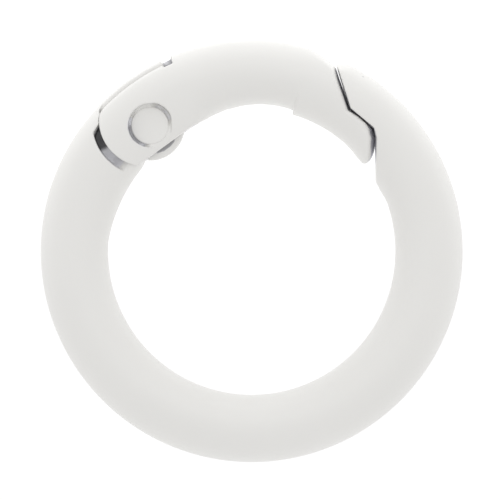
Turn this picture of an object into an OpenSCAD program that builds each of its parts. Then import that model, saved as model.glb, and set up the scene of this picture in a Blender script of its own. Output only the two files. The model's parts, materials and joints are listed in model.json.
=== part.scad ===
// Round spring gate ring, also called a round snap carabiner or spring O-ring.
// Millimetres. The ring lies flat: its axis is +Z and its centre is the origin.
// The gate hinges about an axis parallel to +Z and swings into the ring to open.

/* [Ring] */
// Inner diameter of the ring, which is also its trade size
ring_id = 25; // [23:0.5:28]
// Diameter of the round section that the ring is cast in
section_d = 5.86; // [5.6:0.02:6.2]

/* [Hinge] */
// Angle of the hinge axis around the ring, from +X
hinge_angle = 129; // [127:1:131]
// Distance of the hinge axis inside the section's centre line
hinge_inset = 1.42; // [1.3:0.02:1.5]
// Thickness of the body's tongue, between the gate's ears
tongue_t = 2.2; // [2:0.05:2.4]
// Radius of the tongue's round lobe about the hinge axis
lobe_r = 3; // [2.8:0.05:3.2]
// Gap between the tongue and each ear
side_gap = 0.05; // [0.04:0.01:0.08]
// Radius of the ears' round end
ear_r = 4.2; // [4:0.02:4.25]
// Radius of the round pocket that the ears' ends turn in
pocket_r = 4.52; // [4.5:0.02:4.8]
// Distance of the ears' inner edge from the ring's centre
ear_inner = 11.8; // [11.7:0.02:11.9]

/* [Rivet] */
// Radius of the rivet's shaft
shaft_r = 1; // [0.9:0.05:1.05]
// Radius of the rivet's heads
head_r = 1.63; // [1.5:0.01:1.7]
// Thickness of each rivet head
head_t = 0.6; // [0.4:0.05:0.65]
// Height of each head's face from the middle of the ring
head_z = 2.2; // [2:0.05:2.4]
// Radius of the recess round each head
recess_r = 1.87; // [1.8:0.01:1.9]
// Radial clearance of the shaft in the tongue
running_gap = 0.05; // [0.02:0.01:0.08]

/* [Gate and latch] */
// Angle where the slot between the ears ends
slot_angle = 112.8; // [112:0.2:114]
// Angle where the tongue ends
tongue_angle = 115.5; // [115:0.5:117]
// Angle of the latch gap at the outside of the ring
latch_outer_angle = 66; // [65:0.5:68]
// Angle of the latch gap's outer corner
outer_corner_angle = 54.6; // [54.2:0.1:55]
// Angle of the latch gap's inner corner
inner_corner_angle = 44.1; // [43.8:0.1:44.4]
// Angle of the latch gap at the inside of the ring
latch_inner_angle = 28.4; // [27.5:0.1:29]
// Distance of the latch corners inside the section's centre line
latch_inset = 0.38; // [0.3:0.02:0.5]
// Gap between the gate's nose and the hook
latch_gap = 0.16; // [0.12:0.01:0.24]
// Angle of the step where the gate's thinner arm meets its nose
step_angle = 73.5; // [72:0.5:75]

/* [Spring] */
// Diameter of the spring wire
spring_wire_d = 0.36; // [0.3:0.02:0.4]
// Mean radius of the spring's coil
coil_r = 1.45; // [1.4:0.01:1.5]
// Rise of the coil in one turn
coil_pitch = 0.38; // [0.38:0.01:0.44]
// Direction of the leg that pushes the gate, from +X
gate_leg_angle = 35; // [33:1:37]
// Direction of the leg that bears on the body, from +X
body_leg_angle = 230; // [226:1:234]
// How far the gate opens
open_angle = 80; // [60:1:80]

/* [Hidden] */
$fn = 96;

section_r = section_d / 2;
inner_r = ring_id / 2;
mid_r = inner_r + section_r;
outer_r = mid_r + section_r;
pin = polar(mid_r - hinge_inset, hinge_angle);
half_tongue = tongue_t / 2;
half_slot = half_tongue + side_gap;
far = outer_r + 6;          // beyond everything
near = inner_r - 4.5;       // inside the ring's hole
tall = 2 * section_r + 2;   // taller than the ring

// The ears' end and the pocket are not quite centred on the hinge axis
ear_centre = pin + [-0.24, 0.59];
pocket_centre = pin + [-0.47, 0.22];
ear_outer = outer_r - 0.46;
ear_edge_angle = hinge_angle - 3;

// The section swells inwards towards the hinge, as part of a second torus off the ring's centre
swell_r = 2.5;
body_swell_offset = 2.15;
gate_swell_offset = 8;
swell_reach = 0.6;

// Spring heights: the gate's leg is low, the body's leg is high
leg_gap = 0.05;
coil_turns = 2 + (body_leg_angle - 90 - (gate_leg_angle + 90)) / 360;
leg_z = -half_tongue + leg_gap + spring_wire_d / 2;
coil_top_z = leg_z + coil_turns * coil_pitch;
gate_leg_l = 5.3;
body_leg_l = 2.6;
pocket_top_z = coil_top_z + spring_wire_d / 2 + leg_gap;
spring_pocket_r = coil_r + spring_wire_d / 2 + 0.2;

// A point at radius r and angle a about the ring's centre
function polar(r, a) = [r * cos(a), r * sin(a)];

// The latch gap's outline on the hook's side, from outside the ring to inside it
latch_corners = [for (a = [outer_corner_angle, inner_corner_angle]) polar(mid_r - latch_inset, a)];
latch_line = [
    beyond(latch_corners[0], polar(outer_r, latch_outer_angle), 1.5),
    latch_corners[0],
    latch_corners[1],
    beyond(latch_corners[1], polar(inner_r, latch_inner_angle), 1.3)
];
function beyond(from, through, k) = from + k * (through - from);

// The gate's end is the same outline moved back by the gap, with its tip cut off
gate_shift = latch_gap * [-1.25, -0.8];
nose_tip = latch_corners[1] + [-0.1, -2.5];
gate_end = concat(
    [for (i = [0:2]) latch_line[i] + gate_shift],
    [nose_tip, nose_tip + [-1.4, -1.4]]
);

// ---- shapes shared by the parts ----

// Part of the ring's round section, from angle a0 to angle a1
module ring_arc(a0, a1) {
    rotate([0, 0, a0])
        rotate_extrude(angle = a1 - a0)
            translate([mid_r, 0]) circle(section_r);
}

// A slimmer torus off the ring's centre, which stands out of the ring's inside by reach at angle a
module swell(offset, reach, a0, a1) {
    inner = inner_r - reach + offset;
    translate(polar(offset, hinge_angle + 180))
        rotate([0, 0, a0])
            rotate_extrude(angle = a1 - a0)
                translate([inner + swell_r, 0]) circle(swell_r);
}

// A prism through the whole thickness of the ring
module through() {
    translate([0, 0, -tall / 2]) linear_extrude(tall) children();
}

// A wedge from near the centre to beyond the ring, between two angles
module wedge(a0, a1) {
    middle = (a0 + a1) / 2;
    polygon([
        polar(near, a0), polar(far, a0),
        polar(far, middle), polar(far, a1), polar(near, a1)
    ]);
}

// Copies on both faces of the ring
module both_faces() {
    for (side = [0, 1]) mirror([0, 0, side]) children();
}

// ---- body ----

// The room that the gate takes up, as far as the tongue's end
module gate_room() {
    through() polygon(concat(
        latch_line,
        [polar(near, 60), polar(near, tongue_angle), polar(far, tongue_angle), polar(far, 90)]
    ));
}

// The room for the ears above the tongue, with its round pocket
module ear_room() {
    translate([0, 0, half_tongue]) linear_extrude(tall) {
        wedge(tongue_angle - 2, 135);
        translate(pocket_centre) circle(pocket_r);
    }
}

// The coil's pocket, the fan that the gate's leg sweeps and the slot for the body's leg
module spring_room() {
    floor_z = -half_tongue - 1;
    fan = spring_wire_d + 2 * leg_gap;
    leg_side = [cos(gate_leg_angle + 90), sin(gate_leg_angle + 90)] * (coil_r + fan / 2);
    leg_way = [cos(gate_leg_angle), sin(gate_leg_angle)] * 7;
    translate([pin.x, pin.y, floor_z]) {
        cylinder(r = spring_pocket_r, h = pocket_top_z - floor_z);
        linear_extrude(leg_z + fan / 2 - floor_z)
            polygon([
                [0, 0], leg_side, leg_side + leg_way,
                polar(9, gate_leg_angle - 40), polar(7, gate_leg_angle - open_angle - 6)
            ]);
        rotate([0, 0, body_leg_angle])
            translate([0, -coil_r - fan / 2, 0])
                cube([body_leg_l + 0.3, fan, coil_top_z + fan / 2 - floor_z]);
    }
}

module ring_body() {
    color("whitesmoke")
        difference() {
            union() {
                ring_arc(90, 450);
                swell(body_swell_offset, swell_reach, 134, 176);
                translate([pin.x, pin.y, -half_tongue]) cylinder(r = lobe_r, h = tongue_t);
            }
            gate_room();
            both_faces() ear_room();
            spring_room();
            translate([pin.x, pin.y, -tall / 2]) cylinder(r = shaft_r + running_gap, h = tall);
        }
}

// ---- gate ----

// What the hook takes away from the gate's end
module hook_side() {
    through() polygon(concat(
        gate_end,
        [polar(near, 15), polar(far, 15), polar(far, 45)]
    ));
}

// Everything past the round end of the ears
module past_ears() {
    through()
        difference() {
            wedge(hinge_angle, 165);
            translate(ear_centre) circle(ear_r);
        }
}

// The thicker inside of the arm, up to the slot
module arm_swell() {
    intersection() {
        swell(gate_swell_offset, swell_reach + 0.09, 106, 126);
        through() wedge(90, slot_angle + 0.6);
    }
}

// The flatter shoulders of the ears, beside the rivet heads
module ear_shoulders() {
    crown_r = 6;
    crown_z = section_r - 0.08;
    rotate([0, 0, slot_angle - 0.4])
        rotate_extrude(angle = 33)
            intersection() {
                translate([mid_r - 0.23, crown_z - crown_r]) circle(crown_r);
                translate([mid_r - 0.23, crown_r - crown_z]) circle(crown_r);
                translate([ear_inner - 0.6, -section_r]) square([mid_r - ear_inner, section_d]);
            }
}

// The slot that the tongue sits in
module tongue_slot() {
    translate([0, 0, -half_slot])
        linear_extrude(2 * half_slot) wedge(slot_angle, hinge_angle + 30);
}

// The ears' straight inner edge and their lower outer edge, which bares the tongue's rim
module ear_edges() {
    through()
        rotate(ear_edge_angle)
            translate([near, -ear_inner * tan(ear_edge_angle - slot_angle)])
                square([ear_inner - near, 9]);
    rotate([0, 0, slot_angle])
        rotate_extrude(angle = 36)
            translate([ear_outer, -tall / 2]) square([far - ear_outer, tall]);
}

// The shallow hollow inside the gate's arm, which ends at the step
module arm_hollow() {
    through()
        intersection() {
            translate(polar(4.56, 81)) circle(inner_r - 4.25);
            wedge(step_angle, 106);
        }
}

module gate() {
    color("white")
        difference() {
            union() {
                ring_arc(20, 160);
                arm_swell();
                ear_shoulders();
            }
            hook_side();
            past_ears();
            tongue_slot();
            ear_edges();
            arm_hollow();
            both_faces()
                translate([pin.x, pin.y, head_z - head_t]) cylinder(r = recess_r, h = section_r);
            translate([pin.x, pin.y, -tall / 2]) cylinder(r = shaft_r, h = tall);
            spring_leg_hole();
        }
}

// The blind hole at the slot's end that holds the spring's leg
module spring_leg_hole() {
    start = leg_start();
    translate([start.x, start.y, leg_z])
        rotate([0, 90, gate_leg_angle])
            cylinder(r = spring_wire_d / 2 + 0.07, h = gate_leg_l + 0.3);
}

// ---- rivet ----

module hinge_rivet() {
    color("white")
        translate([pin.x, pin.y, 0]) {
            translate([0, 0, -head_z]) cylinder(r = shaft_r, h = 2 * head_z);
            both_faces() {
                rim = 0.08;
                translate([0, 0, head_z - head_t]) cylinder(r = head_r, h = head_t - rim);
                translate([0, 0, head_z - rim]) cylinder(r1 = head_r, r2 = head_r - rim, h = rim);
            }
        }
}

// ---- spring ----

spring_sides = 8;
turn_steps = 20;

// Where the gate's leg leaves the coil
function leg_start() = pin + polar(coil_r, gate_leg_angle + 90);

// A point on the coil, t turns from the gate's leg
function coil_point(t) =
    let (p = pin + polar(coil_r, gate_leg_angle + 90 + 360 * t))
    [p.x, p.y, leg_z + coil_pitch * t];

// A point on a leg, d along its direction from its start on the coil
function leg_point(start, d, a) = start + [d * cos(a), d * sin(a), 0];

function spring_path() =
    let (steps = round(turn_steps * coil_turns))
    concat(
        [for (d = [gate_leg_l, 2 * gate_leg_l / 3, gate_leg_l / 3])
            leg_point(coil_point(0), d, gate_leg_angle)],
        [for (i = [0:steps]) coil_point(coil_turns * i / steps)],
        [for (d = [body_leg_l / 2, body_leg_l])
            leg_point(coil_point(coil_turns), d, body_leg_angle)]
    );

function unit(v) = v / norm(v);

// The wire's outline round point i of a path: the wire stays close to level, so +Z orients it
function wire_ring(path, i) =
    let (
        last = len(path) - 1,
        along = unit(path[min(i + 1, last)] - path[max(i - 1, 0)]),
        side = unit(cross(along, [0, 0, 1])),
        up = cross(side, along)
    )
    [for (k = [0:spring_sides - 1])
        let (a = 360 * k / spring_sides)
        path[i] + (side * cos(a) + up * sin(a)) * spring_wire_d / 2];

module gate_spring() {
    path = spring_path();
    n = len(path);
    s = spring_sides;
    points = [for (i = [0:n - 1]) each wire_ring(path, i)];
    walls = [for (i = [0:n - 2], k = [0:s - 1])
        let (k2 = (k + 1) % s)
        [i * s + k, i * s + k2, (i + 1) * s + k2, (i + 1) * s + k]];
    ends = [[for (k = [s - 1:-1:0]) k], [for (k = [0:s - 1]) (n - 1) * s + k]];
    color("silver") polyhedron(points, concat(walls, ends), convexity = 10);
}

ring_body();
gate();
hinge_rivet();
gate_spring();
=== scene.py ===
import json
import math

import bpy
import numpy as np
import openvdb
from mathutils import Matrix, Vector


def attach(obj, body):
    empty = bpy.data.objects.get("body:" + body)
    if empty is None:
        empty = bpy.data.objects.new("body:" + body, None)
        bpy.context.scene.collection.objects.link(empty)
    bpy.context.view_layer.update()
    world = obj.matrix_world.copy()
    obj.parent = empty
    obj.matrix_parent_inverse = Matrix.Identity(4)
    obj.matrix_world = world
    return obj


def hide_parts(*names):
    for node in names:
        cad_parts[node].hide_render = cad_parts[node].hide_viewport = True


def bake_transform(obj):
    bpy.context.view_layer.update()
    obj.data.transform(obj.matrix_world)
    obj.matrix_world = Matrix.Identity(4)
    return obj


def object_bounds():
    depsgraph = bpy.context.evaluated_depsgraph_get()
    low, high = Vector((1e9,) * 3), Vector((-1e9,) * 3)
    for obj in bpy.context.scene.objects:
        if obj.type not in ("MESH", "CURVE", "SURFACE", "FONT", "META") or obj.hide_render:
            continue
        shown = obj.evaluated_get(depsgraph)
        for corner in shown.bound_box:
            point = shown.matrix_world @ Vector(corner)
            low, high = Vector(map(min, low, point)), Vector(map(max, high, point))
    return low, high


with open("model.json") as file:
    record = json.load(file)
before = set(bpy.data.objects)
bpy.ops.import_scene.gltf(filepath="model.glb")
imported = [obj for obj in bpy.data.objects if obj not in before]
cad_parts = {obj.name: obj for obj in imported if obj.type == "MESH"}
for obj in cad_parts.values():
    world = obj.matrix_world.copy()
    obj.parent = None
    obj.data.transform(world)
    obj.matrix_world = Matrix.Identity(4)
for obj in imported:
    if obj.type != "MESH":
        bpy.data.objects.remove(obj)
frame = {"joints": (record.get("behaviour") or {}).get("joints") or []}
cad_low, cad_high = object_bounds()

# A white-painted spring gate ring, lying flat. The castings are worked out as distance fields, in
# millimetres round the ring's centre. They are meshed on a grid that is bent round the ring, and scaled
# to metres.
MM = 0.001

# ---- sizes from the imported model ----

OUTER_R = (cad_high[0] - cad_low[0]) / 2 / MM
SECTION_R = (cad_high[2] - cad_low[2]) / 2 / MM
MID_R = OUTER_R - SECTION_R
INNER_R = MID_R - SECTION_R
PIN = np.array(frame["joints"][0]["pos_m"][:2]) / MM
HINGE_ANGLE = math.degrees(math.atan2(PIN[1], PIN[0]))

# ---- sizes of the hinge, in millimetres ----
# "on the clock" is round the pin, in degrees from +X, clockwise as the ring is seen from above

HALF_TONGUE = 1.1
HALF_SLOT = 1.15
LOBE_R = 3.0
EAR_R = 4.2
EAR_CENTRE = PIN + (-0.24, 0.59)
POCKET_R = 4.52
POCKET_CENTRE = PIN + (-0.47, 0.22)
EAR_WALL_ANGLE = 126.0      # the ears' straight inner wall faces the ring's centre from this angle
EAR_WALL_R = 11.8           # its distance from the ring's centre
EAR_OUTER_R = OUTER_R - 0.46
EAR_CROWN = 4.6             # half-width of the flatter curve inside the ears' crest
POCKET_ANGLE, POCKET_HALF_ANGLE = 118, 18.4     # the pocket's wedge, up to its round end
BEVEL_ANGLE = -24           # the shoulder's bevel faces this way
BEVEL_REACH = -11.62        # and lies this far out that way
BEVEL_LEAN = 0.12           # it leans back by this much of its height
BEVEL_LOW_Y, BEVEL_RIGHT_X = 5.5, -9    # it lies above the one and left of the other
SLOT_ANGLE = 112.8
TONGUE_ANGLE = 115.5
TONGUE_MIDDLE, TONGUE_REACH = 130, 22   # the tongue and the lobe lie within these angles
TONGUE_NEAR_Z = 1.3                     # and their surface is below this height
SHAFT_R, HEAD_R, RECESS_R = 1.0, 1.63, 1.87
HEAD_Z, RECESS_Z = 2.2, 1.75
# paint that partly fills the recess: its height, then its start, end and fade on the clock
RECESS_FILLS = (0.34, 5, 85, 25), (0.44, 232, 268, 24), (0.15, 185, 210, 15)
LEFT_GROOVE = (110, 195, 18)            # where the recess stayed bare: start, end and fade
RIGHT_GROOVE = (290, 338, 14)
WEB_HALF = 0.35             # half-height of the web that closes the slot's end at the rim
BORE_R = 1.05
WEDGE_AT = (-7.4, 9.0)      # the middle of the thin wedge of shade on the lobe
WEDGE_ALONG = (0.81, 0.59)  # and the way it runs
LOWER_POOL, UPPER_POOL = 1.05, 1.6      # height of the paint that pooled in the pocket's two ends

# ---- the castings' inner sides: mostly circles whose centres are off the ring's own ----

BODY_SWELL, BODY_SWELL_OFFSET = 0.6, 2.15       # how far in at the hinge, and how far off the centre
GATE_SWELL, GATE_SWELL_OFFSET = 0.64, 8         # the same for the gate
ARM_ANGLE, ARM_OFFSET, ARM_R = 81, 4.56, INNER_R - 4.25     # the arm is a little hollow
FOOT_SWELL = 0.15           # the body is this much thicker at the hook's foot
NOSE_SWELL, NOSE_TIP_SWELL = 0.12, 0.13         # the nose, and what its tip adds

# ---- how far the painted edges are rounded ----

TONGUE_EDGE, SHOULDER_EDGE, BEVEL_EDGE, BORE_EDGE = 0.22, 0.16, 0.08, 0.06
NOSE_EDGE, EAR_EDGE, SLOT_EDGE, RECESS_EDGE, SHAFT_EDGE = 0.6, 0.14, 0.15, 0.12, 0.05

# ---- sizes of the gate's arm and of the latch ----

STEP_ANGLE = 73.5           # where the arm's inner side steps down to the nose
HOOK_TIP_ANGLE, HOOK_KINK_ANGLE, HOOK_CORNER_ANGLE = 67.2, 55.3, 45.3
HOOK_UNDER_ANGLE, HOOK_FOOT_ANGLE = 42.3, 29.3
KINK_R = MID_R - 0.38
HOOK_UNDER_R = KINK_R - 0.39
NOSE_KINK_ANGLE = 44.1
NOSE_END_OFFSET = (-0.38, -2.45)        # from the nose's kink to its slanted end
LATCH_ANGLE = 80            # everything below this angle belongs to the latch

# ---- the spring ----

WIRE_D = 0.36
COIL_R = 1.45
COIL_PITCH = 0.38
GATE_LEG_ANGLE, BODY_LEG_ANGLE = 35.0, 230.0
GATE_LEG_L, BODY_LEG_L = 5.3, 2.6
LEG_ROOM_R = 5.9            # the room for the gate leg reaches this far from the pin
COIL_TURNS = 2 + (BODY_LEG_ANGLE - GATE_LEG_ANGLE - 180) / 360
COIL_LOW_Z = -HALF_TONGUE + 0.05 + WIRE_D / 2
COIL_HIGH_Z = COIL_LOW_Z + COIL_TURNS * COIL_PITCH
SPRING_ROOM_R = COIL_R + WIRE_D / 2 + 0.2
SPRING_ROOM_Z = COIL_HIGH_Z + WIRE_D / 2 + 0.05
LEG_ROOM_Z = COIL_LOW_Z + 0.25

# ---- the mesh grid: fine round the gate, and coarse along the plain part of the ring ----

GRID_STEP = 0.11
FINE_TURN = math.degrees(GRID_STEP / MID_R)
COARSE_TURN = 2.0
GRID_INNER_R = 10.75        # just inside the swell at the hinge
# stretches of (from, to, step) in degrees: 378 and 429 are 18 and 69 on the next time round
BODY_TURNS = (TONGUE_ANGLE - 1.5, 182, FINE_TURN), (182, 378, COARSE_TURN), (378, 429, FINE_TURN)
GATE_TURNS = (36, 153, FINE_TURN)

# ---- colours, and chips in the paint (places in metres) ----

PAINT_SHADES = (0.815, 0.807, 0.786), (0.84, 0.832, 0.811)
NICKEL_SHADES = (0.72, 0.72, 0.75), (0.93, 0.93, 0.96)
# the dark metal colour is mostly painted shade in the crevices and the latch; at the chips it is the
# metal's own dark
DARK_METAL_AND_SHADE = (0.045, 0.043, 0.045)
WIRE_SHADES = (0.42, 0.42, 0.43), (0.66, 0.66, 0.67)
CHIP_R, CHIP_FADE_R, CHIP_DEPTH = 0.00006, 0.00016, 0.55
CHIPS = (0.00968, 0.01516, 0.00150), (-0.00965, 0.00733, 0.00160)


# ---- distance fields: negative inside, rounded where they meet ----

def both(a, b, k):
    """What is inside both a and b, with the edge between them rounded over k."""
    h = np.clip(0.5 + 0.5 * (a - b) / k, 0, 1)
    return a * h + b * (1 - h) + k * h * (1 - h)


def either(a, b, k):
    """What is inside a or b, with a fillet of size k between them."""
    return -both(-a, -b, k)


def without(a, b, k):
    """What is inside a and outside b."""
    return both(a, -b, k)


def ramp(v, low, high):
    """0 below low and 1 above high, smooth between them."""
    t = np.clip((v - low) / (high - low), 0, 1)
    return t * t * (3 - 2 * t)


def polar(r, degrees):
    """The point at a radius and an angle from +X."""
    a = math.radians(degrees)
    return np.array((r * math.cos(a), r * math.sin(a)))


def angle_of(x, y):
    """Direction from the ring's centre, in degrees from +X, counterclockwise."""
    return np.degrees(np.arctan2(y, x)) % 360


def clock(x, y):
    """Direction from the hinge pin, in degrees from +X, clockwise as the ring is seen from above."""
    return np.degrees(np.arctan2(PIN[1] - y, x - PIN[0])) % 360


def between(degrees, start, end, fade):
    """1 between two directions on the clock and 0 elsewhere, with a soft start and end."""
    off = np.abs((degrees - (start + end) / 2 + 180) % 360 - 180)
    return 1 - ramp(off, (end - start) / 2, (end - start) / 2 + fade)


def disc(x, y, centre, r):
    """Signed distance to a circle, negative inside it."""
    return np.hypot(x - centre[0], y - centre[1]) - r


def outline(x, y, points):
    """Signed distance to a closed polygon, negative inside it."""
    nearest = np.full(x.shape, 1e9)
    inside = np.zeros(x.shape, bool)
    for (ax, ay), (bx, by) in zip(points, np.roll(points, -1, axis=0)):
        ex, ey = bx - ax, by - ay
        t = np.clip(((x - ax) * ex + (y - ay) * ey) / (ex * ex + ey * ey), 0, 1)
        nearest = np.minimum(nearest, np.hypot(x - ax - t * ex, y - ay - t * ey))
        crosses = (ay > y) != (by > y)
        inside ^= crosses & (x < ax + (y - ay) * ex / (ey if ey else 1e-9))
    return np.where(inside, -nearest, nearest)


def circle_reach(degrees, centre_r, centre_angle, r):
    """Distance from the ring's centre, at an angle, to a circle off the centre."""
    a = np.radians(degrees - centre_angle)
    return centre_r * np.cos(a) + np.sqrt(np.maximum(r * r - (centre_r * np.sin(a)) ** 2, 0))


def section(x, y, z, inner_half, crest=MID_R):
    """The ring's section: round outside its crest, and inner_half wide inside it."""
    q = np.hypot(x, y) - crest
    wide = np.where(q < 0, inner_half, OUTER_R - crest)
    k = np.hypot(q / wide, z / SECTION_R)
    slope = np.hypot(q / wide ** 2, z / SECTION_R ** 2) / np.maximum(k, 1e-6)
    return (k - 1) / np.maximum(slope, 1e-3)


# ---- the body ----

def body_inner_r(degrees):
    """The body's inner radius: the ring's, less at the swell round the hinge and at the hook's foot."""
    swell_r = INNER_R - BODY_SWELL + BODY_SWELL_OFFSET
    swell = circle_reach(degrees, BODY_SWELL_OFFSET, HINGE_ANGLE + 180, swell_r)
    foot = FOOT_SWELL * ramp(degrees, 19, 26) * (degrees < 90)
    return np.minimum(swell, INNER_R - foot)


def hook_line():
    """The latch gap's outline on the hook's side, from outside the ring to inside it."""
    tip, kink = polar(OUTER_R, HOOK_TIP_ANGLE), polar(KINK_R, HOOK_KINK_ANGLE)
    corner, under = polar(KINK_R, HOOK_CORNER_ANGLE), polar(HOOK_UNDER_R, HOOK_UNDER_ANGLE)
    foot = polar(INNER_R, HOOK_FOOT_ANGLE)
    return [kink + 1.5 * (tip - kink), kink, corner, under, under + 1.3 * (foot - under)]


def gate_side(x, y):
    """Signed distance to the hook's outline, negative on the gate's side."""
    near, far = INNER_R - 5.5, OUTER_R + 8
    round_the_hook = [polar(near, -30), polar(far, -30), polar(far, 20), polar(far, 50)]
    return -outline(x, y, np.array(hook_line() + round_the_hook))


def past_body_ends(x, y):
    """Negative in the stretch that the gate closes: past the hook and past the tongue's end."""
    turn = (angle_of(x, y) + 180) % 360 - 180
    tongue_end = (turn - TONGUE_ANGLE) * math.radians(1) * MID_R
    hook_end = np.where(turn > -15, gate_side(x, y), 5.0)
    return np.where(turn > 90, tongue_end, hook_end)


def ear_room(x, y):
    """The pocket that the ears turn in."""
    off = np.abs(angle_of(x, y) - POCKET_ANGLE)
    wedge = (off - POCKET_HALF_ANGLE) * math.radians(1) * MID_R
    return either(wedge, disc(x, y, POCKET_CENTRE, POCKET_R), 0.1)


def shoulder_bevel(x, y, high):
    """The small slanted flat on the inner corner of the pocket's shoulder."""
    towards = polar(1, BEVEL_ANGLE)
    flat = BEVEL_REACH - (x * towards[0] + y * towards[1]) - BEVEL_LEAN * high
    return np.maximum(np.maximum(flat, BEVEL_LOW_Y - y), x - BEVEL_RIGHT_X)


def slanted_clock(x, y):
    """Direction from the hinge pin, more of it further out: the upper pool of paint ends aslant."""
    slant, unslanted_r = 20, 4.5        # degrees for each millimetre past the radius
    return clock(x, y) + slant * (disc(x, y, PIN, 0) - unslanted_r)


def pooled_paint(x, y):
    """Height of the paint that pooled in the pocket's two ends, up to the ears' rounded edge."""
    turn = clock(x, y)
    lower = LOWER_POOL * (1 - ramp(turn, 113, 144))
    upper = UPPER_POOL * ramp(slanted_clock(x, y), 175, 184) * (1 - ramp(turn, 202, 210))
    return (lower + upper) * ramp(ear_plan(x, y), -0.09, -0.01)


def leg_fan(x, y):
    """The room that the spring's gate leg sweeps in the tongue, seen from above."""
    reach = np.hypot(x - PIN[0], y - PIN[1])
    turn = (np.degrees(np.arctan2(y - PIN[1], x - PIN[0])) - GATE_LEG_ANGLE + 180) % 360 - 180
    side = np.minimum(20 - turn, turn + 90) * math.radians(1) * np.maximum(reach, 0.5)
    return np.maximum(-side, reach - LEG_ROOM_R)


def body_field(x, y, z):
    """The ring with its tongue and lobe, less the gate's stretch, the bore and the spring's room."""
    turn = angle_of(x, y)
    high = np.abs(z)
    pin_r = disc(x, y, PIN, 0)
    ring = section(x, y, z, MID_R - body_inner_r(turn))
    flat = either(high - HALF_TONGUE - pooled_paint(x, y), -ear_room(x, y), SHOULDER_EDGE)
    solid = both(ring, flat, TONGUE_EDGE)
    lobe = both(pin_r - LOBE_R, high - HALF_TONGUE, TONGUE_EDGE)
    solid = either(solid, lobe, 0.05)
    tip = ramp(np.hypot(x, y), OUTER_R - 1.2, OUTER_R - 0.1)
    foot = 0.13 * (1 - ramp(y, 9.5, 11)) * (1 - (high / SECTION_R) ** 2)
    edge = np.where(turn < 90, 0.06 + 1.6 * tip, 0.04)
    solid = without(solid, past_body_ends(x, y) + foot, edge)
    solid = without(solid, shoulder_bevel(x, y, high), BEVEL_EDGE)
    solid = without(solid, pin_r - BORE_R, BORE_EDGE)
    spring_room = np.maximum(pin_r - SPRING_ROOM_R, z - SPRING_ROOM_Z)
    fan = np.maximum(leg_fan(x, y), z - LEG_ROOM_Z)
    return without(without(solid, spring_room, BORE_EDGE), fan, BORE_EDGE)


# ---- the gate ----

def gate_inner_r(degrees):
    """The gate's inner radius: the swell at the ears, the hollowed arm, and the nose past its step."""
    swell_r = INNER_R - GATE_SWELL + GATE_SWELL_OFFSET
    swell = circle_reach(degrees, GATE_SWELL_OFFSET, HINGE_ANGLE + 180, swell_r)
    arm = circle_reach(degrees, ARM_OFFSET, ARM_ANGLE, ARM_R)
    arm = np.maximum(np.minimum(swell, INNER_R), arm)
    nose = INNER_R - NOSE_SWELL - NOSE_TIP_SWELL * ramp(50 - degrees, 0, 10)
    return arm + (nose - arm) * ramp(STEP_ANGLE - degrees, -0.35, 0.35)


def gate_inner_half(turn):
    """Half-width of the gate's section inside its crest: wider and flatter at the ears."""
    ears = ramp(turn, SLOT_ANGLE - 6, SLOT_ANGLE + 5)
    return (MID_R - gate_inner_r(turn)) * (1 - ears) + EAR_CROWN * ears


def ear_plan(x, y):
    """The ears seen from above: a straight inner wall, which runs into the arm, and a round end."""
    turn = angle_of(x, y)
    straight = EAR_WALL_R / np.cos(np.radians(np.clip(turn - EAR_WALL_ANGLE, -22, 22)))
    arm = gate_inner_r(turn) - 0.1 * (1 - ramp(turn, 105, 112))
    wall = arm + (straight - arm) * ramp(turn, 114, 120) - np.hypot(x, y)
    end = np.where(turn > HINGE_ANGLE, disc(x, y, EAR_CENTRE, EAR_R), -2.0)
    return both(wall, end, 0.1)


def rim_r(turn, high):
    """The gate's outer radius: full up to the slot, then lower, with the notch that shows the web."""
    notch = 1 - ramp(turn, TONGUE_ANGLE - 0.1, TONGUE_ANGLE + 0.4)
    web = 1 - ramp(high, WEB_HALF, WEB_HALF + 0.15)
    before_slot = 1.5 * np.maximum(0, SLOT_ANGLE + 0.1 - turn)
    return EAR_OUTER_R - 0.24 * notch + 0.44 * notch * web + before_slot


def gate_end(x, y, z):
    """Positive past the gate's end: next to the hook, where the wall leans back, and below the nose."""
    gap = 0.02 + 0.08 * ramp(y, 12.8, 15.2) + 0.16 * (1 - ramp(y, 8.5, 10.5))
    lean = 0.16 + 0.40 * (1 - ramp(y, 10.2, 11.2)) + 0.16 * ramp(y, 11.6, 12.4)
    past = gate_side(x, y) + gap + lean * np.abs(z) / SECTION_R
    nose = polar(KINK_R, NOSE_KINK_ANGLE) + NOSE_END_OFFSET
    below = (x - nose[0] - y + nose[1]) * math.sqrt(0.5)
    return past, below


def recess_floor(x, y):
    """Height of the recess round the rivet head: paint partly fills it on three sides."""
    filled = 0.06
    for height, start, end, fade in RECESS_FILLS:
        filled = filled + height * between(clock(x, y), start, end, fade)
    return RECESS_Z + filled * ramp(disc(x, y, PIN, HEAD_R), -0.1, -0.03)


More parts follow.
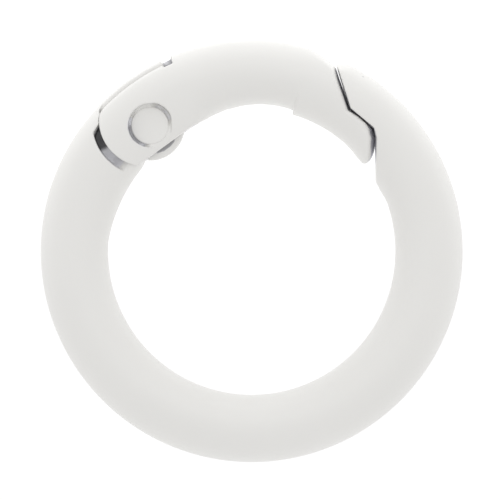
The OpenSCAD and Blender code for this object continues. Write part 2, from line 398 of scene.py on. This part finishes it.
def gate_field(x, y, z):
    """A stretch of the ring with two ears, a slot for the tongue, two recesses and the rivet's hole."""
    r, turn, high = np.hypot(x, y), angle_of(x, y), np.abs(z)
    pin_r = disc(x, y, PIN, 0)
    solid = section(x, y, z, gate_inner_half(turn))
    past, below = gate_end(x, y, z)
    tip = ramp(r, OUTER_R - 1.2, OUTER_R - 0.1)
    solid = both(solid, past, 0.5 + 1.8 * tip)
    solid = both(solid, below, NOSE_EDGE)
    solid = both(solid, ear_plan(x, y), EAR_EDGE)
    edge = 0.12 + 0.2 * ramp(turn, TONGUE_ANGLE, TONGUE_ANGLE + 1)
    solid = both(solid, r - rim_r(turn, high), edge)
    low = 1 - ramp(high, WEB_HALF, WEB_HALF + 0.3)
    web = 2.66 * ramp(r, EAR_OUTER_R - 0.9, EAR_OUTER_R - 0.6) * low
    slot_end = (SLOT_ANGLE + web - turn) * math.radians(1) * MID_R
    slot = both(high - HALF_SLOT, slot_end, SLOT_EDGE)
    solid = without(solid, slot, 0.1 - 0.07 * ramp(r, EAR_OUTER_R - 0.1, EAR_OUTER_R + 0.1))
    wide = RECESS_R + 0.12 * between(clock(x, y), 290, 330, 25)
    recess = np.maximum(pin_r - wide, recess_floor(x, y) - high)
    solid = without(solid, recess, RECESS_EDGE)
    return without(solid, pin_r - SHAFT_R, SHAFT_EDGE)


# ---- meshing ----

def bent_grid(field, turns, radii, heights):
    """The field's zero surface, as points in millimetres and quads, on a grid bent round the ring."""
    r, a, z = np.meshgrid(radii, np.radians(turns), heights, indexing="ij")
    values = field(r * np.cos(a), r * np.sin(a), z)
    grid = openvdb.FloatGrid()
    grid.background = 1.0
    grid.copyFromArray(np.clip(values, -1, 1).astype(np.float32))
    at, quads = grid.convertToQuads(isovalue=0.0)
    r = np.interp(at[:, 0], np.arange(len(radii)), radii)
    a = np.radians(np.interp(at[:, 1], np.arange(len(turns)), turns))
    z = np.interp(at[:, 2], np.arange(len(heights)), heights)
    return np.stack((r * np.cos(a), r * np.sin(a), z), axis=1), quads


def slope_of(field, points, step=0.01):
    """The field's value and gradient at each point."""
    x, y, z = points.T
    value = field(x, y, z)
    gradient = np.stack([
        field(x + step, y, z) - field(x - step, y, z),
        field(x, y + step, z) - field(x, y - step, z),
        field(x, y, z + step) - field(x, y, z - step),
    ], axis=1) / (2 * step)
    return value, gradient


def onto_surface(field, points, longest=0.06):
    """Moves points onto the field's surface along its gradient."""
    for _ in range(3):
        value, gradient = slope_of(field, points)
        size = np.maximum((gradient ** 2).sum(axis=1), 0.05)
        move = gradient * (value / size)[:, None]
        length = np.linalg.norm(move, axis=1)
        move *= np.minimum(1, longest / np.maximum(length, 1e-9))[:, None]
        points = points - move
    return points


def relaxed(points, quads):
    """Each point halfway to the middle of its neighbours."""
    total, count = np.zeros_like(points), np.zeros(len(points))
    for i in range(4):
        a, b = quads[:, i], quads[:, (i + 1) % 4]
        np.add.at(total, a, points[b])
        np.add.at(total, b, points[a])
        np.add.at(count, a, 1)
        np.add.at(count, b, 1)
    middle = total / np.maximum(count, 1)[:, None]
    return 0.5 * (points + middle)


def casting(name, field, turns, radii, heights):
    """A mesh object of the field's surface, with normals from the field."""
    points, quads = bent_grid(field, turns, radii, heights)
    points = onto_surface(field, points)
    for _ in range(2):
        points = onto_surface(field, relaxed(points, quads))
    mesh = bpy.data.meshes.new(name)
    mesh.from_pydata((points * MM).tolist(), [], quads.tolist())
    mesh.polygons.foreach_set("use_smooth", [True] * len(mesh.polygons))
    _, normals = slope_of(field, points, 0.02)
    normals /= np.maximum(np.linalg.norm(normals, axis=1), 1e-9)[:, None]
    mesh.normals_split_custom_set_from_vertices(normals.tolist())
    piece = bpy.data.objects.new(name, mesh)
    bpy.context.collection.objects.link(piece)
    return piece, points


def spaced(*stretches):
    """Grid lines through stretches of (start, end, step), each starting where the last one ends."""
    counts = [max(2, round(abs(b - a) / step) + 1) for a, b, step in stretches]
    lines = [np.linspace(a, b, count)[:-1] for (a, b, _), count in zip(stretches, counts)]
    return np.concatenate(lines + [[stretches[-1][1]]])


def paint_mask(piece, name, values):
    """Stores a value from 0 to 1 on each point, for the material to read."""
    attribute = piece.data.attributes.new(name, "FLOAT", "POINT")
    attribute.data.foreach_set("value", np.clip(values, 0, 1).astype(np.float32))


# ---- where the paint didn't reach: it was sprayed on the closed ring; and painted shade in the crevices and the latch ----

def buried(x, y, z, inner_half):
    """How far a point is below the closed ring's surface, but 0 at the latch's painted outer corners."""
    corner = (angle_of(x, y) < LATCH_ANGLE) * ramp(np.hypot(x, y), OUTER_R - 1.1, OUTER_R - 0.7)
    return -section(x, y, z, inner_half) * (1 - corner)


def latch_shade(y):
    """Painted shade on the bare metal in the latch's deep gap: a little darker between the hook's tip
    and the kink.
    """
    return 0.02 + 0.14 * ramp(y, 10.6, 11.8)


def lobe_shadow(x, y, covered):
    """Distance to the thin wedge of bare metal and painted shadow on the lobe, which lies along the
    ear's inner wall.
    """
    far_off = 9.0
    along = (x - WEDGE_AT[0]) * WEDGE_ALONG[0] + (y - WEDGE_AT[1]) * WEDGE_ALONG[1]
    wedge = np.hypot(along, 3.2 * np.maximum(0, covered))
    return np.where(np.hypot(x, y) < INNER_R, wedge, far_off)


def mask_body(piece, points):
    """The body is bare under the ears, in the crescent past them, and in the latch; its dark mask is
    painted shade in the crescent's deep part, along the ear's wall on the lobe, and in the latch.
    """
    x, y, z = points.T
    turn, ring_turn = clock(x, y), angle_of(x, y)
    deep = ramp(buried(x, y, z, MID_R - body_inner_r(ring_turn)), 0.3, 0.9)
    tongue = (np.abs(ring_turn - TONGUE_MIDDLE) < TONGUE_REACH) & (np.abs(z) < TONGUE_NEAR_Z)
    covered = np.maximum(ear_plan(x, y), np.hypot(x, y) - EAR_OUTER_R + 0.35)
    open_air = ramp(covered, -0.15, 0.1)
    in_pocket = ramp(turn, 122, 146) * (1 - ramp(slanted_clock(x, y), 174, 182))
    bare = np.where(tongue, (1 - open_air) + deep * in_pocket * open_air, deep)
    wedge = lobe_shadow(x, y, covered)
    bare = np.maximum(bare, np.where(tongue, 1 - ramp(wedge, 0.7, 1.3), 0))
    paint_mask(piece, "bare", bare)
    # painted shade: darker in the crescent's deep part, and on the lobe along the ear's inner wall
    shade = 0.9 * ramp(turn, 150, 156) * (1 - ramp(slanted_clock(x, y), 176, 181))
    shade = shade * np.where(tongue, ramp(covered, -0.25, 0), 1)
    shade = np.maximum(shade, np.where(tongue, 0.6 * (1 - ramp(wedge, 0.8, 1.3)), 0))
    paint_mask(piece, "dark", np.where(ring_turn < LATCH_ANGLE, latch_shade(y), shade))


def mask_gate(piece, points):
    """The gate is bare between its ears, round the rivet, in the notch and in the latch; its dark mask
    is painted shade in the recess's lower left, in the notch's far corner and in the latch.
    """
    x, y, z = points.T
    r, turn, ring_turn = np.hypot(x, y), clock(x, y), angle_of(x, y)
    bare = ramp(buried(x, y, z, gate_inner_half(ring_turn)), 0.2, 0.7)
    in_recess = 1 - ramp(disc(x, y, PIN, RECESS_R), 0.0, 0.16)
    groove = 0.85 * between(turn, *LEFT_GROOVE) + 0.62 * between(turn, *RIGHT_GROOVE)
    bare = np.where(in_recess > 0, in_recess * groove, bare)
    notch = ramp(r, EAR_OUTER_R - 0.32, EAR_OUTER_R - 0.22)
    notch = notch * between(ring_turn, 113, 115.8, 0.5) * (np.abs(z) < 1.2)
    paint_mask(piece, "bare", np.maximum(bare, notch))
    # painted shade in the recess's lower left and in the notch's far corner
    shade = 0.04 + 0.28 * between(turn, 128, 170, 12) * (in_recess > 0)
    notch_floor = 1 - ramp(r, EAR_OUTER_R - 0.2, EAR_OUTER_R - 0.02)
    corner = np.maximum(1 - ramp(ring_turn, 113, 114.8), notch_floor)
    shade = np.maximum(shade, 0.5 * notch * corner)
    paint_mask(piece, "dark", np.where(ring_turn < LATCH_ANGLE, latch_shade(y), shade))


# ---- materials ----

def material(name):
    """A new material, with its nodes, its links and its shader."""
    made = bpy.data.materials.new(name)
    made.use_nodes = True
    nodes, links = made.node_tree.nodes, made.node_tree.links
    return made, nodes, links, nodes["Principled BSDF"]


def noise(nodes, links, scale, detail=2.0, roughness=0.5):
    """A noise texture fixed to the object's own coordinates; scale is in bumps per metre."""
    place = nodes.new("ShaderNodeTexCoord")
    made = nodes.new("ShaderNodeTexNoise")
    made.inputs["Scale"].default_value = scale
    made.inputs["Detail"].default_value = detail
    made.inputs["Roughness"].default_value = roughness
    links.new(place.outputs["Object"], made.inputs["Vector"])
    return made.outputs["Fac"]


def curve(nodes, links, value, low, high, to_low=0.0, to_high=1.0):
    """The value, carried smoothly from the range low..high to the range to_low..to_high."""
    made = nodes.new("ShaderNodeMapRange")
    made.interpolation_type = "SMOOTHSTEP"
    ends = {"From Min": low, "From Max": high, "To Min": to_low, "To Max": to_high}
    for socket, number in ends.items():
        made.inputs[socket].default_value = number
    links.new(value, made.inputs["Value"])
    return made.outputs["Result"]


def mix_colour(nodes, links, factor, a, b):
    """Colour a where the factor is 0 and b where it is 1; each is a colour or another node's output."""
    made = nodes.new("ShaderNodeMix")
    made.data_type = "RGBA"
    links.new(factor, made.inputs["Factor"])
    for socket, colour in (("A", a), ("B", b)):
        at = [s for s in made.inputs if s.name == socket and s.type == "RGBA"][0]
        if isinstance(colour, tuple):
            at.default_value = (*colour, 1)
        else:
            links.new(colour, at)
    return [s for s in made.outputs if s.type == "RGBA"][0]


def combine(nodes, links, operation, a, b):
    """The result of an operation on two numbers or outputs, kept between 0 and 1."""
    made = nodes.new("ShaderNodeMath")
    made.operation = operation
    made.use_clamp = True
    for socket, value in zip(made.inputs, (a, b)):
        if isinstance(value, (int, float)):
            socket.default_value = value
        else:
            links.new(value, socket)
    return made.outputs[0]


def attribute(nodes, name):
    """A mask that paint_mask stored."""
    made = nodes.new("ShaderNodeAttribute")
    made.attribute_name = name
    return made.outputs["Fac"]


def bump(nodes, links, shader, heights):
    """Adds bumps, each (height socket, depth in metres), one on top of the other."""
    last = None
    for height, depth in heights:
        made = nodes.new("ShaderNodeBump")
        made.inputs["Distance"].default_value = depth
        links.new(height, made.inputs["Height"])
        if last:
            links.new(last, made.inputs["Normal"])
        last = made.outputs["Normal"]
    links.new(last, shader.inputs["Normal"])


def chips(nodes, links):
    """The small chips in the paint: each is a spot that fades out from its place on the ring."""
    place = nodes.new("ShaderNodeTexCoord")
    spots = None
    for spot in CHIPS:
        away = nodes.new("ShaderNodeVectorMath")
        away.operation = "DISTANCE"
        links.new(place.outputs["Object"], away.inputs[0])
        away.inputs[1].default_value = spot
        near = curve(nodes, links, away.outputs["Value"], CHIP_R, CHIP_FADE_R, CHIP_DEPTH, 0.0)
        spots = near if spots is None else combine(nodes, links, "MAXIMUM", spots, near)
    return spots


def painted_casting():
    """Satin white spray paint that thins out to bare nickel, as the masks say, and darkens towards dark
    metal where the dark mask paints shade and at the chips.
    """
    made, nodes, links, shader = material("painted_casting")
    grain = noise(nodes, links, scale=3500, detail=3)
    edge = curve(nodes, links, grain, 0.25, 0.75, to_low=-0.18, to_high=0.18)
    bare = combine(nodes, links, "ADD", attribute(nodes, "bare"), edge)
    bare = curve(nodes, links, bare, 0.3, 0.75)
    spots = chips(nodes, links)
    bare = combine(nodes, links, "MAXIMUM", bare, spots)
    # the dark mask is painted shade in the crevices and the latch; the chips add their own dark
    dark = combine(nodes, links, "MAXIMUM", attribute(nodes, "dark"), spots)
    cloud = noise(nodes, links, scale=160, detail=2)
    paint = mix_colour(nodes, links, cloud, *PAINT_SHADES)
    streaks = noise(nodes, links, scale=1500, detail=4, roughness=0.7)
    nickel = mix_colour(nodes, links, streaks, *NICKEL_SHADES)
    metal = mix_colour(nodes, links, dark, nickel, DARK_METAL_AND_SHADE)
    links.new(mix_colour(nodes, links, bare, paint, metal), shader.inputs["Base Color"])
    links.new(combine(nodes, links, "MULTIPLY", bare, 0.35), shader.inputs["Metallic"])
    satin = noise(nodes, links, scale=900, detail=3)
    satin = curve(nodes, links, satin, 0.3, 0.7, to_low=0.36, to_high=0.46)
    links.new(satin, shader.inputs["Roughness"])
    orange_peel = noise(nodes, links, scale=2600, detail=2)
    bump(nodes, links, shader, [(orange_peel, 0.000004), (grain, 0.000003)])
    return made


def spring_steel():
    """Bare drawn wire."""
    made, nodes, links, shader = material("drawn_spring_wire")
    drawn = noise(nodes, links, scale=5200, detail=4, roughness=0.65)
    links.new(mix_colour(nodes, links, drawn, *WIRE_SHADES), shader.inputs["Base Color"])
    shader.inputs["Metallic"].default_value = 1.0
    shine = curve(nodes, links, drawn, 0.3, 0.7, to_low=0.22, to_high=0.4)
    links.new(shine, shader.inputs["Roughness"])
    bump(nodes, links, shader, [(drawn, 0.000004)])
    return made


# ---- the turned and wound pieces ----

def new_object(name, points, faces):
    """A smooth mesh object from points in millimetres."""
    mesh = bpy.data.meshes.new(name)
    mesh.from_pydata([tuple(c * MM for c in p) for p in points], [], faces)
    mesh.polygons.foreach_set("use_smooth", [True] * len(mesh.polygons))
    mesh.validate()
    piece = bpy.data.objects.new(name, mesh)
    bpy.context.collection.objects.link(piece)
    return piece


def rivet_profile():
    """Radius and height along the rivet's upper half, from its middle to the centre of its head."""
    edge_r = 0.13
    rounding = [
        (HEAD_R - edge_r + edge_r * math.cos(t), HEAD_Z - edge_r + edge_r * math.sin(t))
        for t in np.linspace(0, math.pi / 2, 7)
    ]
    shaft = [(SHAFT_R, 0.0), (SHAFT_R, 0.8), (SHAFT_R, RECESS_Z - 0.02)]
    under = [(SHAFT_R + 0.04, RECESS_Z), (HEAD_R - 0.05, RECESS_Z), (HEAD_R, RECESS_Z + 0.05)]
    face = [(r, HEAD_Z + 0.02 * (1 - (r / HEAD_R) ** 2)) for r in (1.3, 1.0, 0.7, 0.4, 0.15)]
    return shaft + under + rounding + face


def make_rivet(sides=96):
    """The rivet, turned from its profile; only its two faces are painted."""
    half = rivet_profile()
    profile = [(r, -z) for r, z in reversed(half[1:])] + half
    points = [(PIN[0], PIN[1], profile[0][1])]
    for r, z in profile:
        for k in range(sides):
            a = 2 * math.pi * k / sides
            points.append((PIN[0] + r * math.cos(a), PIN[1] + r * math.sin(a), z))
    points.append((PIN[0], PIN[1], profile[-1][1]))
    faces = []
    for k in range(sides):
        k2 = (k + 1) % sides
        faces.append((0, 1 + k2, 1 + k))
        for ring in range(len(profile) - 1):
            a, b = 1 + ring * sides, 1 + (ring + 1) * sides
            faces.append((a + k, a + k2, b + k2, b + k))
        last = 1 + (len(profile) - 1) * sides
        faces.append((last + k, last + k2, len(points) - 1))
    piece = new_object("hinge_rivet_piece", points, faces)
    place = np.array(points)
    paint_mask(piece, "bare", ramp(HEAD_Z - 0.12 - np.abs(place[:, 2]), 0, 0.12))
    paint_mask(piece, "dark", np.full(len(points), 0.35))
    return piece


def spring_path():
    """The wire's centre line: gate leg, coil, body leg."""
    def coil(t):
        p = PIN + polar(COIL_R, GATE_LEG_ANGLE + 90 + 360 * t)
        return np.array((p[0], p[1], COIL_LOW_Z + COIL_PITCH * t))

    def leg(start, angle, distances):
        return [start + (*polar(d, angle), 0) for d in distances]

    gate_leg = leg(coil(0), GATE_LEG_ANGLE, np.linspace(GATE_LEG_L, 0, 14)[:-1])
    turns = [coil(t) for t in np.linspace(0, COIL_TURNS, round(48 * COIL_TURNS))]
    body_leg = leg(coil(COIL_TURNS), BODY_LEG_ANGLE, np.linspace(0, BODY_LEG_L, 9)[1:])
    return np.array(gate_leg + turns + body_leg)


def make_spring(sides=16):
    """The wire, swept along its path with slightly rounded ends."""
    path = spring_path()
    along = np.gradient(path, axis=0)
    along /= np.linalg.norm(along, axis=1)[:, None]
    side = np.cross(along, (0, 0, 1))
    side /= np.linalg.norm(side, axis=1)[:, None]
    up = np.cross(side, along)
    points = []
    for ring, (p, s, u) in enumerate(zip(path, side, up)):
        thinner = 0.8 if ring in (0, len(path) - 1) else 1
        for k in range(sides):
            a = 2 * math.pi * k / sides
            points.append(p + (s * math.cos(a) + u * math.sin(a)) * WIRE_D / 2 * thinner)
    faces = []
    for here in range(0, (len(path) - 1) * sides, sides):
        for k in range(sides):
            k2 = (k + 1) % sides
            faces.append((here + k, here + sides + k, here + sides + k2, here + k2))
    faces.append(tuple(range(sides)))
    faces.append(tuple(reversed(range((len(path) - 1) * sides, len(path) * sides))))
    return new_object("gate_spring_piece", points, faces)


# ---- the object ----

def stand_for(piece, node, finish):
    """Gives a piece its material, and puts it in the place of its CAD node."""
    piece.data.materials.append(finish)
    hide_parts(node)


def twist_spring(spring):
    """Bakes the spring's placement into its mesh."""
    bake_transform(spring)


def make_ring():
    """The four pieces: body, gate, rivet and spring."""
    heights = spaced((-SECTION_R - 0.2, SECTION_R + 0.2, GRID_STEP))
    radii = spaced((GRID_INNER_R, OUTER_R + 0.25, GRID_STEP))
    paint = painted_casting()
    turns = spaced(*BODY_TURNS)
    body, points = casting("ring_body_casting", body_field, turns, radii, heights)
    mask_body(body, points)
    stand_for(body, "ring_body", paint)
    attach(body, "ring")
    turns = spaced(GATE_TURNS)
    gate, points = casting("gate_casting", gate_field, turns, radii, heights)
    mask_gate(gate, points)
    stand_for(gate, "gate", paint)
    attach(gate, "swing_gate")
    rivet = make_rivet()
    stand_for(rivet, "hinge_rivet", paint)
    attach(rivet, "swing_gate")
    spring = make_spring()
    stand_for(spring, "gate_spring", spring_steel())
    twist_spring(spring)


# ---- floor, light and camera ----

def make_floor():
    """A plain white table that glows, so the ring throws no visible shadow, and glows brighter behind
    it, where it lights the ring's far edges.
    """
    half, z = 1.5, cad_low[2] - 0.00002
    corners = [(-half, -half, z), (half, -half, z), (half, half, z), (-half, half, z)]
    mesh = bpy.data.meshes.new("floor")
    mesh.from_pydata(corners, [], [(0, 1, 2, 3)])
    floor = bpy.data.objects.new("floor", mesh)
    bpy.context.collection.objects.link(floor)
    made, nodes, links, shader = material("glowing_white_table")
    shader.inputs["Base Color"].default_value = (0.13, 0.13, 0.13, 1)
    shader.inputs["Roughness"].default_value = 0.9
    shader.inputs["Specular IOR Level"].default_value = 0.0
    shader.inputs["Emission Color"].default_value = (1, 1, 1, 1)
    place, part = nodes.new("ShaderNodeTexCoord"), nodes.new("ShaderNodeSeparateXYZ")
    links.new(place.outputs["Object"], part.inputs["Vector"])
    # the table's glow: brighter behind the ring, where it lights the ring's far edges
    near_y, far_y, near_glow, far_glow = -0.004, 0.024, 0.93, 1.27
    glow = curve(nodes, links, part.outputs["Y"], near_y, far_y, near_glow, far_glow)
    links.new(glow, shader.inputs["Emission Strength"])
    floor.data.materials.append(made)


def softbox(name, place, size, power):
    """A round lamp that faces the ring."""
    light = bpy.data.lights.new(name, "AREA")
    light.shape = "DISK"
    light.size = size
    light.energy = power
    lamp = bpy.data.objects.new(name, light)
    lamp.location = place
    lamp.rotation_euler = (-lamp.location).to_track_quat("-Z", "Y").to_euler()
    bpy.context.collection.objects.link(lamp)


def make_light():
    """A white tent, with one softbox high behind the ring and a weaker one low behind it."""
    world = bpy.data.worlds.new("soft_white")
    world.use_nodes = True
    tent = world.node_tree.nodes["Background"]
    tent.inputs["Color"].default_value = (1, 1, 1, 1)
    tent.inputs["Strength"].default_value = 0.84
    bpy.context.scene.world = world
    softbox("high_softbox", place=(0.02, 0.26, 0.38), size=0.30, power=0.15)
    softbox("low_softbox", place=(0.0, 0.50, 0.10), size=0.30, power=0.21)
    bpy.context.scene.view_settings.view_transform = "Standard"


def make_camera():
    """Straight above the ring, which the photo shows a little off the middle."""
    camera = bpy.data.objects.new("camera", bpy.data.cameras.new("camera"))
    bpy.context.collection.objects.link(camera)
    distance, ring_share = 0.5, 0.844       # the ring takes this share of the picture's width
    aim_x, aim_y = -0.00015, 0.0001
    camera.data.sensor_width = 36
    camera.data.lens = 36 * ring_share * distance / (2 * OUTER_R * MM)
    camera.data.clip_start, camera.data.clip_end = 0.01, 10
    camera.location = (aim_x, aim_y, distance)
    bpy.context.scene.camera = camera


make_ring()
make_floor()
make_light()
make_camera()
